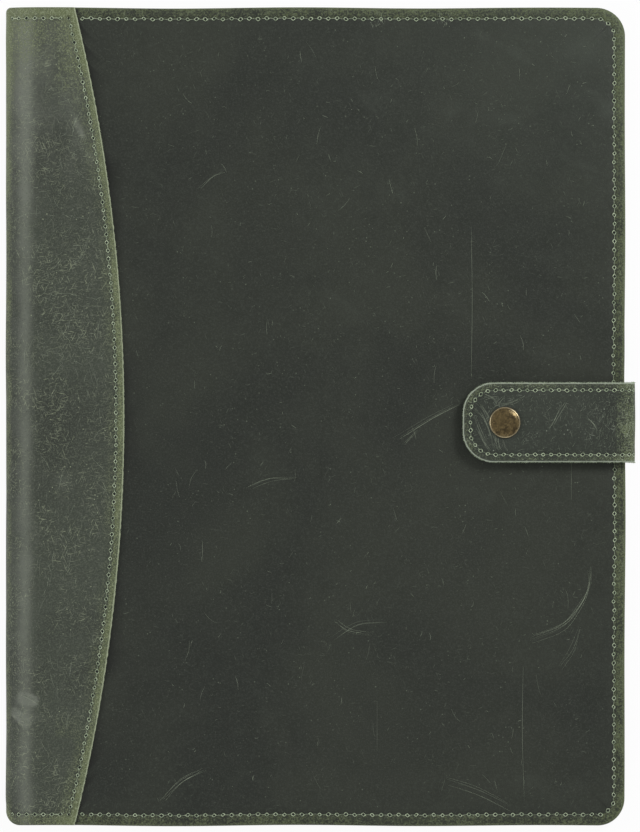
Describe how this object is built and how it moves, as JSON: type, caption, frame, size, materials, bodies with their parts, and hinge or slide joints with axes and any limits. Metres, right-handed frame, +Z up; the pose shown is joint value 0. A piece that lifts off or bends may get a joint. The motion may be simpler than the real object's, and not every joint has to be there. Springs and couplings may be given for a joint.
{
  "type": "padfolio",
  "caption": "Leather padfolio with a stitched spine overlay, a snap closure strap, inside pockets, a pen loop and a writing pad in its sleeve.",
  "frame": {"origin": "centre of the back cover's outer face, on which the closed padfolio lies", "axes": "+X from the spine to the fore edge, +Y to the head of the page, +Z up out of the front cover"},
  "size_m": [0.2543, 0.33, 0.026],
  "materials": {
    "panel_leather": "waxed, scuffed dark green",
    "overlay_leather": "waxed, worn paler green at the edges",
    "strap_leather": "waxed, creased, raw cut edges",
    "inside_leather": "smooth, matte",
    "lining": "fine woven lining",
    "board": "grey board",
    "thread": "waxed pale green thread",
    "brass": "antique, mottled",
    "paper": "uncoated writing paper",
    "binding": "cloth binding tape"
  },
  "bodies": {
    "back_cover": {"back_panel_leather": "panel_leather", "spine_overlay_back": "overlay_leather", "back_edge_thread": "thread", "back_overlay_thread": "thread", "back_board": "board", "back_lining": "lining", "pad_sleeve": "inside_leather", "pen_loop": "inside_leather", "strap_anchor": "strap_leather"},
    "spine": {"spine_leather": "overlay_leather", "spine_lining": "lining"},
    "front_cover": {"front_panel_leather": "panel_leather", "spine_overlay_front": "overlay_leather", "front_edge_thread": "thread", "front_overlay_thread": "thread", "front_board": "board", "front_lining": "lining", "document_pocket": "inside_leather", "card_pocket_1": "inside_leather", "card_pocket_2": "inside_leather", "card_pocket_3": "inside_leather", "snap_stud": "brass", "snap_eyelet": "brass"},
    "strap_side": {"strap_side_leather": "strap_leather", "strap_side_lining": "lining"},
    "strap_flap": {"strap_flap_leather": "strap_leather", "strap_flap_lining": "lining", "strap_thread": "thread", "snap_cap": "brass", "snap_socket": "brass"},
    "pad": {"pad_backing": "board", "paper_block": "paper", "pad_binding_tape": "binding"}
  },
  "joints": [
    {"name": "spine_fold", "type": "hinge", "parent": "back_cover", "child": "spine", "pos_m": [-0.12207, 0, 0.00293], "axis": [0, -1, 0], "range_deg": [0, 90]},
    {"name": "front_cover_fold", "type": "hinge", "parent": "spine", "child": "front_cover", "pos_m": [-0.12207, 0, 0.01707], "axis": [0, -1, 0], "range_deg": [0, 90]},
    {"name": "strap_side_bend", "type": "hinge", "parent": "back_cover", "child": "strap_side", "pos_m": [0.12784, 0, 0.00306], "axis": [0, 1, 0], "range_deg": [0, 90]},
    {"name": "strap_flap_bend", "type": "hinge", "parent": "strap_side", "child": "strap_flap", "pos_m": [0.12784, 0, 0.02294], "axis": [0, 1, 0], "range_deg": [0, 90]},
    {"name": "pad_slide", "type": "slide", "parent": "back_cover", "child": "pad", "axis": [0, 1, 0], "range_m": [0, 0.25]}
  ]
}
